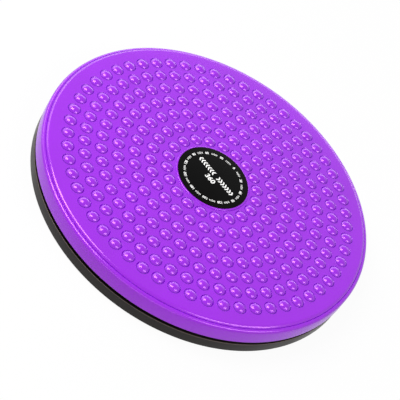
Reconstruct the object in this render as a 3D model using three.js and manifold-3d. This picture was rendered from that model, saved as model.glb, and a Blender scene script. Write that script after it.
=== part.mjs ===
// Waist twisting disc: a domed plate of rounded studs that turns on a ring of steel balls over a low base.
// Sizes are in millimetres. +Z is up, the turning axis is x = y = 0 and the foot pads stand on z = 0.
// Every ring of studs starts on the +X axis.
import * as THREE from 'three';
import { mergeGeometries, mergeVertices } from 'three/addons/utils/BufferGeometryUtils.js';
import Module from 'manifold-3d';

const wasm = await Module();
wasm.setup();

// Outer form of the disc
const discDiameter = 250;
const footStand = 1.2;
const baseHeight = 9.2;
const runningGap = 1.0;
const skirtHeight = 14.6;
const domeRise = 2.2;
const plateWall = 2.6;
const skirtWall = 2.4;

// Edge of the top plate: a small step down to a rounded shoulder
const rimStepWidth = 3.8;
const rimStepDepth = 1.0;
const rimRound = 3.0;
const plateEdgeRound = 0.8;

// Label and the boss that carries it
const labelDiameter = 54;
const labelThickness = 0.3;
const labelMargin = 0.6;
const bossStand = 0.8;
const bossRound = 0.8;

// Field of studs: how far apart the rings lie, and the studs on the first ring
const ringSpacing = 12.1;
const firstRingSpacing = 10.9;
const studsAddedPerRing = 6;
const studDiameter = 8.8;
const studHeight = 2.2;
const innerRingMargin = 6.3;
const outerRingMargin = 13.9;

// Base tray
const basePlate = 2.4;
const baseInset = 0.4;
const baseEdgeRound = 0.8;
const lipHeight = 4.0;
const lipThickness = 1.8;
const lipClearance = 0.6;

// Foot pads
const footCount = 8;
const footDiameter = 17;
const footMargin = 2.1;
const footRecess = 1.2;
const footEdge = 0.5;

// Ball bearing
const ballCount = 18;
const ballDiameter = 8;
const ballRise = 5.4;
const raceClearance = 0.4;
const railWidth = 14;
const railGap = 2.2;
const raceWall = 2.8;
const coreWidth = 7;
const raceFlankDegrees = 40;
const cageWidth = 13;
const cageThickness = 2.6;
const pocketClearance = 0.35;

// Pivot: a bolt, a flanged bush, two washers and a lock nut with a nylon ring
const seatGap = 0.3;
const boltDiameter = 6;
const hexAcrossFlats = 10;
const headHeight = 4.0;
const nutHexHeight = 4.2;
const nutCollarHeight = 1.8;
const nutCollarInset = 0.4;
const insertHeight = 1.5;
const insertWall = 0.9;
const boltProtrusion = 0.5;
const washerDiameter = 18;
const washerThickness = 1.6;
const bushWall = 1.7;
const bushFlange = 1.5;
const bushFlangeInset = 1.0;
const hubWeb = 3.5;
const hubWall = 3.2;
const pocketMargin = 0.8;

// Centre cap in the bolt's socket
const socketMargin = 4.2;
const capLedge = 2.1;
const capWall = 1.6;
const capCollarWall = 1.5;
const capCollarDepth = 3.0;
const headClearance = 0.85;

// Stiffening ribs, under the top plate and on the tray's floor
const ribCount = 8;
const ribThickness = 1.8;
const ribDepth = 5.0;

// Facets around a full turn, and along the corners and the races
const rimSides = 48;
const hubSides = 24;
const studSides = 5;
const footSides = 16;
const cageSides = 36;
const pocketSides = 10;
const ballDetail = 1;
const roundSteps = 2;
const hexSides = 6;

// Shares: the stud's shoulder as shares of its radius and height, how deep joined forms bite into a wall, and
// how far the first rib is turned from +X as a share of the angle between two ribs
const studShoulderRadiusShare = 0.8;
const studShoulderHeightShare = 0.66;
const biteShare = 0.5;
const ribTurnShare = 0.5;

// Heights worked out from the sizes above
const baseBottomZ = footStand;
const basePlateTopZ = baseBottomZ + basePlate;
const shoulderZ = baseBottomZ + baseHeight;
const skirtBottomZ = shoulderZ + runningGap;
const fieldEdgeZ = skirtBottomZ + skirtHeight;
const crownZ = fieldEdgeZ + domeRise;
const bossTopZ = crownZ + bossStand;
const ballCentreZ = shoulderZ + ballRise;
const capBottomZ = bossTopZ - capWall;
const headTopZ = capBottomZ - headClearance;
const headBottomZ = headTopZ - headHeight;
const headWasherZ = headBottomZ - seatGap - washerThickness;
const topWebTopZ = headWasherZ - seatGap;
const topHubFaceZ = topWebTopZ - hubWeb;
const flangeTopZ = topHubFaceZ - seatGap;
const flangeBottomZ = flangeTopZ - bushFlange;
const baseHubFaceZ = flangeBottomZ - seatGap;
const pocketRoofZ = baseHubFaceZ - hubWeb;
const nutWasherZ = pocketRoofZ - seatGap - washerThickness;
const nutTopZ = nutWasherZ - seatGap;
const nutHexBottomZ = nutTopZ - nutHexHeight;
const nutBottomZ = nutHexBottomZ - nutCollarHeight;
const boltEndZ = nutBottomZ - boltProtrusion;

// Radii worked out from the sizes above
const discRadius = discDiameter / 2;
const plateEdgeRadius = discRadius - rimStepWidth;
const skirtInnerRadius = discRadius - skirtWall;
const labelRadius = labelDiameter / 2;
const bossFlatRadius = labelRadius + labelMargin;
const bossRadius = bossFlatRadius + bossRound;
const firstRingRadius = bossRadius + innerRingMargin;
const firstRingStuds = Math.round(2 * Math.PI * firstRingRadius / firstRingSpacing);
const lastRingRadius = plateEdgeRadius - outerRingMargin;
const ringSteps = Math.round((lastRingRadius - firstRingRadius) / ringSpacing);
const ringPitch = (lastRingRadius - firstRingRadius) / ringSteps;
const studRadius = studDiameter / 2;
const baseRadius = discRadius - baseInset;
const lipRadius = skirtInnerRadius - lipClearance;
const lipInnerRadius = lipRadius - lipThickness;
const footRadius = footDiameter / 2;
const footCircleRadius = lipInnerRadius - footMargin - footRadius;
const railOuterRadius = footCircleRadius - footRadius - footMargin;
const trackRadius = railOuterRadius - railWidth / 2;
const railInnerRadius = trackRadius - railWidth / 2;
const ballRadius = ballDiameter / 2;
const raceRadius = ballRadius + raceClearance;
const boltRadius = boltDiameter / 2;
const hexCornerRadius = hexAcrossFlats / Math.sqrt(3);
const washerRadius = washerDiameter / 2;
const shaftHoleRadius = boltRadius + seatGap;
const bushRadius = shaftHoleRadius + bushWall;
const bushHoleRadius = bushRadius + seatGap;
const socketRadius = washerRadius + socketMargin;
const capSeatRadius = socketRadius + capLedge;
const topHubRadius = capSeatRadius + hubWall;
const pocketRadius = washerRadius + pocketMargin;
const baseHubRadius = pocketRadius + hubWall;

// Height of the plate's upper surface, a shallow dome measured from the outermost ring of studs
function domeZ(radius) {
  const share = radius / lastRingRadius;
  return crownZ - domeRise * share * share;
}

// Points on a round corner, from one angle to another in degrees, as [radius, height] pairs
function arc(centreRadius, centreZ, radius, fromDegrees, toDegrees, steps) {
  const points = [];
  for (let i = 0; i <= steps; i += 1) {
    const angle = THREE.MathUtils.degToRad(fromDegrees + (toDegrees - fromDegrees) * i / steps);
    points.push([centreRadius + radius * Math.cos(angle), centreZ + radius * Math.sin(angle)]);
  }
  return points;
}

// A copy of a geometry that holds each triangle's positions and nothing else
function positionsOnly(source) {
  const geometry = source.index ? source.toNonIndexed() : source.clone();
  geometry.deleteAttribute('normal');
  geometry.deleteAttribute('uv');
  return geometry;
}

// Joins a geometry's shared corners and drops its empty triangles
function weld(source) {
  const geometry = positionsOnly(source);
  const merged = mergeVertices(geometry);
  const kept = [];
  const index = merged.index.array;
  for (let i = 0; i < index.length; i += 3) {
    const [a, b, c] = [index[i], index[i + 1], index[i + 2]];
    if (a !== b && b !== c && c !== a) {
      kept.push(a, b, c);
    }
  }
  merged.setIndex(kept);
  return merged;
}

// Turns a closed geometry into a solid that can be joined and cut
function solidFrom(source) {
  const geometry = weld(source);
  const vertProperties = new Float32Array(geometry.attributes.position.array);
  const triVerts = new Uint32Array(geometry.index.array);
  return new wasm.Manifold(new wasm.Mesh({ numProp: 3, vertProperties, triVerts }));
}

// Turns a solid back into a geometry
function geometryFrom(solid) {
  const mesh = solid.getMesh();
  const geometry = new THREE.BufferGeometry();
  geometry.setAttribute('position', new THREE.BufferAttribute(new Float32Array(mesh.vertProperties), 3));
  geometry.setIndex(new THREE.BufferAttribute(new Uint32Array(mesh.triVerts), 1));
  return geometry;
}

// Angle at which every revolved form starts, so that its first facet's edge is on +X
const startAngle = Math.PI / 2;

// Sweeps a profile of [radius, height] pairs about the Z axis, with the material on the profile's left
function sweep(profile, sides) {
  const points = profile.map(([radius, z]) => new THREE.Vector2(radius, z));
  const geometry = new THREE.LatheGeometry(points, sides, startAngle);
  return geometry.rotateX(Math.PI / 2);
}

// Sweeps a profile that starts and ends on the axis, or that is closed here
function revolve(profile, sides) {
  return sweep(profile[0][0] > 0 ? [...profile, profile[0]] : profile, sides);
}

// The corners of a ring of facets, at the places where a swept form has them
function facetCorners(radius, sides) {
  const corners = [];
  for (let i = 0; i < sides; i += 1) {
    const angle = startAngle + i * 2 * Math.PI / sides;
    corners.push(new THREE.Vector2(radius * Math.sin(angle), -radius * Math.cos(angle)));
  }
  return corners;
}

// A ring with square corners
function plainRing(innerRadius, outerRadius, bottomZ, topZ, sides) {
  return revolve([
    [innerRadius, bottomZ],
    [outerRadius, bottomZ],
    [outerRadius, topZ],
    [innerRadius, topZ],
  ], sides);
}

// A round plug from one height to another
function plainDisc(radius, bottomZ, topZ, sides) {
  return revolve([[0, bottomZ], [radius, bottomZ], [radius, topZ], [0, topZ]], sides);
}

// A hexagon prism, corners on the X axis
function hexPrism(bottomZ, topZ) {
  return plainDisc(hexCornerRadius, bottomZ, topZ, hexSides);
}

// A radial rib: an outline of [radius, height] pairs, given its thickness and turned to its place
function rib(outline, index) {
  const shape = new THREE.Shape(outline.map(([radius, z]) => new THREE.Vector2(radius, z)));
  const geometry = new THREE.ExtrudeGeometry(shape, { depth: ribThickness, bevelEnabled: false });
  geometry.translate(0, 0, -ribThickness / 2);
  geometry.rotateX(Math.PI / 2);
  geometry.rotateZ((index + ribTurnShare) * 2 * Math.PI / ribCount);
  return geometry;
}

// Joins a list of geometries, then cuts another list from them
function joined(geometries, cuts = []) {
  let solid = solidFrom(geometries[0]);
  for (const geometry of geometries.slice(1)) {
    solid = solid.add(solidFrom(geometry));
  }
  for (const geometry of cuts) {
    solid = solid.subtract(solidFrom(geometry));
  }
  return geometryFrom(solid);
}

// Lays a form that is drawn on a level plane onto the plate's dome
function drape(geometry) {
  const position = geometry.attributes.position;
  for (let i = 0; i < position.count; i += 1) {
    const radius = Math.hypot(position.getX(i), position.getY(i));
    position.setZ(i, position.getZ(i) + domeZ(radius));
  }
  return geometry;
}

// One rounded stud, open below, on a level plane
function studCap(ringRadius, angle) {
  const cap = sweep([
    [studRadius, 0],
    [studRadius * studShoulderRadiusShare, studHeight * studShoulderHeightShare],
    [0, studHeight],
  ], studSides);
  cap.translate(ringRadius, 0, 0);
  return cap.rotateZ(angle);
}

// The outline of a stud's foot, read from its swept form, where it is the first point of each column
function footOutline(cap) {
  const position = cap.attributes.position;
  const columnLength = position.count / (studSides + 1);
  const outline = [];
  for (let i = 0; i < studSides; i += 1) {
    const foot = i * columnLength;
    outline.push(new THREE.Vector2(position.getX(foot), position.getY(foot)));
  }
  return outline;
}

// The plate's upper skin: a band for each ring of studs, with a hole under each stud and the studs over them
function studField() {
  const forms = [];
  let innerRadius = bossRadius;
  for (let ring = 0; ring <= ringSteps; ring += 1) {
    const ringRadius = firstRingRadius + ring * ringPitch;
    const outerRadius = ringRadius + ringPitch / 2;
    const count = firstRingStuds + ring * studsAddedPerRing;
    const band = new THREE.Shape(facetCorners(outerRadius, rimSides));
    band.holes.push(new THREE.Path(facetCorners(innerRadius, rimSides)));
    for (let i = 0; i < count; i += 1) {
      const cap = studCap(ringRadius, i * 2 * Math.PI / count);
      band.holes.push(new THREE.Path(footOutline(cap)));
      forms.push(drape(cap));
    }
    forms.push(drape(new THREE.ShapeGeometry(band)));
    innerRadius = outerRadius;
  }
  return forms;
}

// Everything of the top moulding but its studded skin, from the boss's foot inwards and down, out along the
// underside and up the rim to the outer edge of the skin
function topShell() {
  const edgeZ = domeZ(plateEdgeRadius);
  const stepZ = edgeZ - rimStepDepth;
  const skinEdgeRadius = lastRingRadius + ringPitch / 2;
  const railFaceZ = ballCentreZ + railGap;
  return sweep([
    [bossRadius, domeZ(bossRadius)],
    ...arc(bossFlatRadius, bossTopZ - bossRound, bossRound, 0, 90, roundSteps),
    [capSeatRadius, bossTopZ],
    [capSeatRadius, capBottomZ - seatGap],
    [socketRadius, capBottomZ - seatGap],
    [socketRadius, topWebTopZ],
    [bushHoleRadius, topWebTopZ],
    [bushHoleRadius, topHubFaceZ],
    [topHubRadius, topHubFaceZ],
    [topHubRadius, domeZ(topHubRadius) - plateWall],
    [railInnerRadius, domeZ(railInnerRadius) - plateWall],
    [railInnerRadius, railFaceZ],
    ...racePoints(1),
    [railOuterRadius, railFaceZ],
    [railOuterRadius, domeZ(railOuterRadius) - plateWall],
    [skirtInnerRadius, edgeZ - plateWall],
    [skirtInnerRadius, skirtBottomZ],
    [discRadius, skirtBottomZ],
    ...arc(discRadius - rimRound, stepZ - rimRound, rimRound, 0, 90, roundSteps),
    [plateEdgeRadius, stepZ],
    ...arc(plateEdgeRadius - plateEdgeRound, edgeZ - plateEdgeRound, plateEdgeRound, 0, 90, 1),
    [skinEdgeRadius, domeZ(skinEdgeRadius)],
  ], rimSides);
}

// The race groove's points from the inside outwards, as [radius, height] pairs: side is 1 over the balls and
// -1 under them. Its flat roof and flanks touch the round race from outside, so the balls keep clear of it.
function racePoints(side) {
  const flank = THREE.MathUtils.degToRad(raceFlankDegrees);
  const roofHalf = raceRadius * Math.tan((Math.PI / 2 - flank) / 2);
  const mouthHalf = (raceRadius - railGap * Math.sin(flank)) / Math.cos(flank);
  return [
    [trackRadius - mouthHalf, ballCentreZ + side * railGap],
    [trackRadius - roofHalf, ballCentreZ + side * raceRadius],
    [trackRadius + roofHalf, ballCentreZ + side * raceRadius],
    [trackRadius + mouthHalf, ballCentreZ + side * railGap],
  ];
}

// A rib under the top plate, from the hub to the race, whose upper edge lies inside the domed plate
function topRib(index) {
  const innerRadius = topHubRadius - hubWall * biteShare;
  const outerRadius = railInnerRadius + (railWidth - coreWidth) / 2 * biteShare;
  const middleRadius = (innerRadius + outerRadius) / 2;
  const lowZ = domeZ(outerRadius) - plateWall - ribDepth;
  const buried = (radius) => [radius, domeZ(radius) - plateWall * biteShare];
  return rib([
    [innerRadius, lowZ],
    [outerRadius, lowZ],
    buried(outerRadius),
    buried(middleRadius),
    buried(innerRadius),
  ], index);
}

// The tray: floor, core groove, lower ball race, outer wall and the lip that runs inside the skirt
function trayGeometry() {
  const innerRadius = pocketRadius + hubWall * biteShare;
  const faceZ = ballCentreZ - railGap;
  const coreRoofZ = ballCentreZ - raceRadius - raceWall;
  return revolve([
    [innerRadius, baseBottomZ],
    [trackRadius - coreWidth / 2, baseBottomZ],
    [trackRadius - coreWidth / 2, coreRoofZ],
    [trackRadius + coreWidth / 2, coreRoofZ],
    [trackRadius + coreWidth / 2, baseBottomZ],
    [baseRadius - baseEdgeRound, baseBottomZ],
    [baseRadius, baseBottomZ + baseEdgeRound],
    [baseRadius, shoulderZ - baseEdgeRound],
    [baseRadius - baseEdgeRound, shoulderZ],
    [lipRadius, shoulderZ],
    [lipRadius, shoulderZ + lipHeight],
    [lipInnerRadius, shoulderZ + lipHeight],
    [lipInnerRadius, basePlateTopZ],
    [railOuterRadius, basePlateTopZ],
    [railOuterRadius, faceZ],
    ...racePoints(-1).reverse(),
    [railInnerRadius, faceZ],
    [railInnerRadius, basePlateTopZ],
    [innerRadius, basePlateTopZ],
  ], rimSides);
}

// The hub of the tray, with the nut's pocket open below
function baseHubGeometry() {
  return revolve([
    [pocketRadius, baseBottomZ],
    [baseHubRadius, baseBottomZ],
    [baseHubRadius, baseHubFaceZ],
    [shaftHoleRadius, baseHubFaceZ],
    [shaftHoleRadius, pocketRoofZ],
    [pocketRadius, pocketRoofZ],
  ], hubSides);
}

// A rib on the tray's floor, from the hub to the race
function baseRib(index) {
  const innerRadius = baseHubRadius - hubWall * biteShare;
  const outerRadius = railInnerRadius + (railWidth - coreWidth) / 2 * biteShare;
  const lowZ = basePlateTopZ - basePlate * biteShare;
  const highZ = basePlateTopZ + ribDepth;
  return rib([[innerRadius, lowZ], [outerRadius, lowZ], [outerRadius, highZ], [innerRadius, highZ]], index);
}

// Places a geometry on the circle of feet or of balls
function onCircle(geometry, radius, index, count) {
  const copy = geometry.clone();
  copy.translate(radius, 0, 0);
  copy.rotateZ(index * 2 * Math.PI / count);
  return copy;
}

// Round recess in the tray's underside for one foot pad
function footRecessCut(index) {
  const recess = plainDisc(
    footRadius + seatGap,
    baseBottomZ - footRecess,
    baseBottomZ + footRecess,
    footSides,
  );
  return onCircle(recess, footCircleRadius, index, footCount);
}

// Colours and finishes
function finish(color, roughness, metalness) {
  return new THREE.MeshStandardMaterial({ color, roughness, metalness });
}
const purplePlastic = () => finish(0xa33fe8, 0.28, 0);
const blackPlastic = () => finish(0x2a2625, 0.5, 0);
const labelFilm = () => finish(0x1a1819, 0.35, 0);
const paleNylon = () => finish(0xe4dfd0, 0.45, 0);
const zincSteel = () => finish(0xb9bcc0, 0.35, 1);
const ballSteel = () => finish(0xc9ccd1, 0.12, 1);
const footRubber = () => finish(0x1c1b1b, 0.85, 0);
const blueNylon = () => finish(0x3a62b0, 0.5, 0);

const disc = new THREE.Group();

// Adds one named piece to the disc
function addPiece(name, geometry, material) {
  const welded = weld(geometry);
  welded.computeVertexNormals();
  const mesh = new THREE.Mesh(welded, material);
  mesh.name = name;
  disc.add(mesh);
  return mesh;
}

// Top disc
const topSkins = [topShell(), ...studField()].map(positionsOnly);
const topRibs = [];
for (let i = 0; i < ribCount; i += 1) {
  topRibs.push(topRib(i));
}
addPiece('top_disc', joined([mergeGeometries(topSkins), ...topRibs]), purplePlastic());

// Cap over the bolt's socket, pressed in by its collar
const collarRadius = socketRadius - seatGap;
addPiece('centre_cap', revolve([
  [0, capBottomZ],
  [collarRadius - capCollarWall, capBottomZ],
  [collarRadius - capCollarWall, capBottomZ - capCollarDepth],
  [collarRadius, capBottomZ - capCollarDepth],
  [collarRadius, capBottomZ],
  [capSeatRadius - seatGap, capBottomZ],
  [capSeatRadius - seatGap, bossTopZ],
  [0, bossTopZ],
], hubSides), blackPlastic());

// Printed label on the boss and the cap
addPiece('dial_label', plainDisc(labelRadius, bossTopZ, bossTopZ + labelThickness, rimSides), labelFilm());

// Base disc
const baseForms = [trayGeometry(), baseHubGeometry()];
for (let i = 0; i < ribCount; i += 1) {
  baseForms.push(baseRib(i));
}
const baseCuts = [];
for (let i = 0; i < footCount; i += 1) {
  baseCuts.push(footRecessCut(i));
}
addPiece('base_disc', joined(baseForms, baseCuts), blackPlastic());

// Foot pads, each with a worn lower edge
for (let i = 0; i < footCount; i += 1) {
  const pad = revolve([
    [0, 0],
    [footRadius - footEdge, 0],
    [footRadius, footEdge],
    [footRadius, baseBottomZ + footRecess - seatGap],
    [0, baseBottomZ + footRecess - seatGap],
  ], footSides);
  addPiece(`foot_pad_${i + 1}`, onCircle(pad, footCircleRadius, i, footCount), footRubber());
}

// Ball cage with a round pocket for each ball
const cageHalf = cageThickness / 2;
const cageBlank = plainRing(
  trackRadius - cageWidth / 2,
  trackRadius + cageWidth / 2,
  ballCentreZ - cageHalf,
  ballCentreZ + cageHalf,
  cageSides,
);
const pocket = plainDisc(
  ballRadius + pocketClearance,
  ballCentreZ - cageThickness,
  ballCentreZ + cageThickness,
  pocketSides,
);
const pocketCuts = [];
for (let i = 0; i < ballCount; i += 1) {
  pocketCuts.push(onCircle(pocket, trackRadius, i, ballCount));
}
addPiece('ball_cage', joined([cageBlank], pocketCuts), paleNylon());

// Balls, each placed by its own position on the track
for (let i = 0; i < ballCount; i += 1) {
  const angle = i * 2 * Math.PI / ballCount;
  const name = `ball_${String(i + 1).padStart(2, '0')}`;
  const ball = addPiece(name, new THREE.IcosahedronGeometry(ballRadius, ballDetail), ballSteel());
  ball.position.set(trackRadius * Math.cos(angle), trackRadius * Math.sin(angle), ballCentreZ);
  ball.rotation.z = angle;
}

// Pivot bolt, with a hexagon head
const shank = plainDisc(boltRadius, boltEndZ, headBottomZ + headHeight * biteShare, hubSides);
addPiece('pivot_bolt', joined([hexPrism(headBottomZ, headTopZ), shank]), zincSteel());

// Washers under the bolt's head and over the nut
for (const [name, bottomZ] of [['head_washer', headWasherZ], ['nut_washer', nutWasherZ]]) {
  const washer = plainRing(shaftHoleRadius, washerRadius, bottomZ, bottomZ + washerThickness, hubSides);
  addPiece(name, washer, zincSteel());
}

// Flanged bush: its sleeve lines the top hub and its flange keeps the two hubs apart
addPiece('pivot_bush', revolve([
  [shaftHoleRadius, flangeBottomZ],
  [baseHubRadius - bushFlangeInset, flangeBottomZ],
  [baseHubRadius - bushFlangeInset, flangeTopZ],
  [bushRadius, flangeTopZ],
  [bushRadius, topWebTopZ],
  [shaftHoleRadius, topWebTopZ],
], hubSides), paleNylon());

// Lock nut: a hexagon with a round collar that holds the nylon ring
const insertRadius = shaftHoleRadius + insertWall;
const nutCollarRadius = hexAcrossFlats / 2 - nutCollarInset;
const nutHex = hexPrism(nutHexBottomZ, nutTopZ);
const nutCollar = plainDisc(nutCollarRadius, nutBottomZ, nutHexBottomZ + nutHexHeight * biteShare, hubSides);
const nutBore = plainDisc(shaftHoleRadius, nutBottomZ - nutHexHeight, nutTopZ + nutHexHeight, hubSides);
const insertSeat = plainDisc(insertRadius + seatGap, nutBottomZ - nutCollarHeight, nutHexBottomZ, hubSides);
addPiece('lock_nut', joined([nutHex, nutCollar], [nutBore, insertSeat]), zincSteel());
const insertTopZ = nutBottomZ + insertHeight;
const insert = plainRing(shaftHoleRadius, insertRadius, nutBottomZ, insertTopZ, hubSides);
addPiece('nut_insert', insert, blueNylon());

export default disc;
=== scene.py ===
"""Waist twisting disc: a studded plate turning on caged steel balls over a low base on rubber pads.

Every length is in metres, written as millimetres times MM. The turning axis is x = y = 0 and +Z is up.
"""

import math

import bpy
import numpy as np
from bpy.props import FloatProperty, FloatVectorProperty, IntProperty, PointerProperty
from bpy.types import Operator, Panel, PropertyGroup
from bpy.utils import register_class, unregister_class
from mathutils import Matrix, Vector


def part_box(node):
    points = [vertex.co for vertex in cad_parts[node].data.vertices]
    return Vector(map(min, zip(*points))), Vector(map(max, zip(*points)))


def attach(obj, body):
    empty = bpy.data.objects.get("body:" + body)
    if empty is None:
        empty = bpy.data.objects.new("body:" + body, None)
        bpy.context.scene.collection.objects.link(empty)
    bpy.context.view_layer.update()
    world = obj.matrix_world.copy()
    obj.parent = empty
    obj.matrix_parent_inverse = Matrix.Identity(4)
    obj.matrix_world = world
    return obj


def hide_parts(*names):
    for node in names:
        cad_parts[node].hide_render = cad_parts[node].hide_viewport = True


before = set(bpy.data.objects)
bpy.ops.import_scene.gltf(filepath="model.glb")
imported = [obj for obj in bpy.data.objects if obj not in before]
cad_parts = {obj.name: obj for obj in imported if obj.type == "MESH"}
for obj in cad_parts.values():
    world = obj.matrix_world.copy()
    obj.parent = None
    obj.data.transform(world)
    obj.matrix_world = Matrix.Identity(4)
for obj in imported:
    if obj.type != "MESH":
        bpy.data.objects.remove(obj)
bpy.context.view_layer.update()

bl_info = {
    "name": "Waist twisting disc",
    "version": (1, 0, 0),
    "blender": (4, 5, 0),
    "location": "3D View > Sidebar > Twisting disc",
    "description": "Dresses the frame of a waist twisting disc with moulded, turned and pressed pieces",
    "category": "Add Mesh",
}

MM = 0.001
LOW = {name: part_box(name)[0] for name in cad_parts}
HIGH = {name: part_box(name)[1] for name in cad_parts}
BALL_NODES = sorted(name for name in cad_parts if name.startswith("ball_") and name != "ball_cage")
PAD_NODES = sorted(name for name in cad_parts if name.startswith("foot_pad_"))


def heights(name):
    """Lowest and highest point of a CAD node."""
    return LOW[name].z, HIGH[name].z


# Sizes and colours

def linear(code):
    """Linear red, green, blue and alpha of an sRGB colour that is written as six hexadecimal digits."""
    share = np.array([int(code[i:i + 2], 16) for i in (0, 2, 4)]) / 255
    curve = np.where(share <= 0.04045, share / 12.92, ((share + 0.055) / 1.055) ** 2.4)
    return (*curve.tolist(), 1.0)


def size(name, description, default):
    """A length that a user can set."""
    return FloatProperty(
        name=name, description=description, default=default, min=0, unit="LENGTH", precision=5
    )


def tally(name, description, default, least=0):
    """A number of like things that a user can set."""
    return IntProperty(name=name, description=description, default=default, min=least)


def tilt(name, description, degrees):
    """An angle that a user can set."""
    return FloatProperty(name=name, description=description, default=math.radians(degrees), subtype="ANGLE")


def fraction(name, description, default):
    """A share of one that a user can set."""
    return FloatProperty(name=name, description=description, default=default, min=0, max=1, subtype="FACTOR")


def colour(name, description, code):
    """A colour that a user can set."""
    return FloatVectorProperty(
        name=name, description=description, default=linear(code), size=4, min=0, max=1, subtype="COLOR"
    )


class TopSizes(PropertyGroup):
    disc_radius: size("Disc radius", "Outer wall of the hanging skirt", HIGH["top_disc"].x)
    skirt_bottom: size("Skirt bottom", "Height of the skirt's lower edge", LOW["top_disc"].z + 0.1 * MM)
    skirt_wall: size("Skirt wall", "Thickness of the skirt", 2.4 * MM)
    plate_wall: size("Plate wall", "Thickness of the domed plate", 2.6 * MM)
    crown_height: size("Crown height", "Height of the plate's surface at the axis", 28.2 * MM)
    dome_rise: size("Dome rise", "How far the plate rises from the last ring of studs to the axis", 2.2 * MM)
    step_width: size("Step width", "From the plate's edge to the skirt's outer wall", 2.9 * MM)
    step_depth: size("Step depth", "From the plate's edge down to the step", 1.5 * MM)
    shoulder_round: size("Shoulder rounding", "Radius between the step and the skirt", 2.3 * MM)
    groove_width: size("Groove width", "Width of the groove between the plate's edge and the step", 0.45 * MM)
    groove_depth: size("Groove depth", "Depth of that groove below the step", 0.4 * MM)
    edge_width: size("Edge width", "Width of the slope along the plate's edge", 1.4 * MM)
    edge_drop: size("Edge drop", "Height of that slope", 1.2 * MM)
    edge_round: size("Edge rounding", "Radius at the top of that slope", 3.0 * MM)
    boss_radius: size("Boss radius", "Foot of the low boss that carries the label", 28.4 * MM)
    boss_taper: size("Boss taper", "How much narrower the boss is at its top", 0.4 * MM)
    boss_round: size("Boss rounding", "Radius on the boss's edge", 0.85 * MM)
    boss_top: size("Boss top", "Height of the boss's flat face", LOW["dial_label"].z)
    first_ring: size("First ring", "Radius of the innermost ring of studs", 34.7 * MM)
    ring_spacing: size("Ring spacing", "From one ring of studs to the next", 12.1 * MM)
    stud_radius: size("Stud radius", "Foot of a stud", 4.4 * MM)
    stud_height: size("Stud height", "Height of a stud over the plate", 2.2 * MM)
    stud_foot: size("Stud foot", "Width of the dull ring around a stud", 0.5 * MM)
    foot_depth: size("Foot depth", "Depth of the fine groove at a stud's foot", 0.3 * MM)
    rings: tally("Rings", "Rings of studs", 7, least=1)
    first_studs: tally("First studs", "Studs on the first ring", 20, least=3)
    more_studs: tally("More studs", "Studs that each ring adds", 6)


class BaseSizes(PropertyGroup):
    base_radius: size("Base radius", "Outer wall of the tray", HIGH["base_disc"].x)
    underside: size("Underside", "Height of the tray's lower face", LOW["base_disc"].z)
    floor: size("Tray floor", "Height of the tray's upper face", 3.6 * MM)
    shoulder: size("Shoulder", "Height of the wall under the skirt", 8.3 * MM)
    bead: size("Bead", "How far the wall's lower edge stands below the tray", 0.7 * MM)
    edge_round: size("Edge rounding", "Radius on the wall's edges", 0.3 * MM)
    lip_radius: size("Lip radius", "Outer face of the lip inside the skirt", 122.0 * MM)
    lip_wall: size("Lip wall", "Thickness of the lip", 1.8 * MM)
    lip_top: size("Lip top", "Height of the lip", 14.4 * MM)
    pad_circle: size("Pad circle", "Radius of the circle of foot pads", 109.6 * MM)
    pad_radius: size("Pad radius", "Outer radius of a foot pad", 8.5 * MM)
    recess_radius: size("Recess radius", "Radius of a foot pad's recess", 8.8 * MM)
    recess_depth: size("Recess depth", "Depth of a foot pad's recess", 1.2 * MM)


class BearingSizes(PropertyGroup):
    track_radius: size("Track radius", "Circle that the balls run on", 92.0 * MM)
    track_height: size("Track height", "Height of the balls' centres", 15.8 * MM)
    ball_radius: size("Ball radius", "Radius of a ball", 4.0 * MM)
    race_radius: size("Race radius", "Radius of the races' grooves", 4.4 * MM)
    rail_width: size("Rail width", "Width of each race's rail", 14.0 * MM)
    rail_gap: size("Rail gap", "From the balls' centres to each rail's face", 2.2 * MM)
    core_width: size("Core width", "Width of the groove under the lower race", 7.0 * MM)
    core_top: size("Core top", "Height of that groove's roof", 8.6 * MM)
    cage_width: size("Cage width", "Width of the ball cage", 13.0 * MM)
    cage_thickness: size("Cage thickness", "Thickness of the ball cage", 2.6 * MM)
    pocket_radius: size("Pocket radius", "Radius of a ball's pocket", 4.35 * MM)


class PivotSizes(PropertyGroup):
    bolt_radius: size("Bolt radius", "Thread's outer radius", 3.0 * MM)
    thread_pitch: size("Thread pitch", "Rise of one turn of the thread", 1.0 * MM)
    thread_depth: size("Thread depth", "Depth of the thread", 0.55 * MM)
    thread_length: size("Thread length", "Length of the thread", 12.0 * MM)
    hex_flats: size("Width across flats", "Of the bolt's head and the nut", 10.0 * MM)
    washer_radius: size("Washer radius", "Outer radius of both washers", 9.0 * MM)
    hole_radius: size("Hole radius", "Radius of the washers', bush's and hub's bores", 3.3 * MM)
    bush_radius: size("Bush radius", "Outer radius of the bush's sleeve", 5.0 * MM)
    flange_radius: size("Flange radius", "Outer radius of the bush's flange", 12.0 * MM)
    top_hub: size("Top hub", "Outer radius of the plate's hub", 18.5 * MM)
    base_hub: size("Base hub", "Outer radius of the tray's hub", 13.0 * MM)
    socket_radius: size("Socket radius", "Radius of the socket for the bolt's head", 13.2 * MM)
    cap_seat: size("Cap seat", "Radius of the centre cap's seat", 15.3 * MM)
    cap_ledge: size("Cap ledge", "Height of the ledge that carries the cap", LOW["centre_cap"].z + 2.7 * MM)
    web_bottom: size("Web bottom", "Height of the lower face of the web under the head", 16.85 * MM)
    head_face: size("Head face", "Height of the face under the bolt's head", 22.55 * MM)
    nut_pocket: size("Nut pocket", "Radius of the pocket for the nut", 9.8 * MM)
    pocket_roof: size("Pocket roof", "Height of the pocket's roof", 11.25 * MM)
    rib_thickness: size("Rib thickness", "Thickness of the ribs in both discs", 1.8 * MM)
    rib_depth: size("Rib depth", "Depth of the ribs in both discs", 5.0 * MM)
    rib_count: tally("Ribs", "Ribs in each disc", 8)


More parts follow.
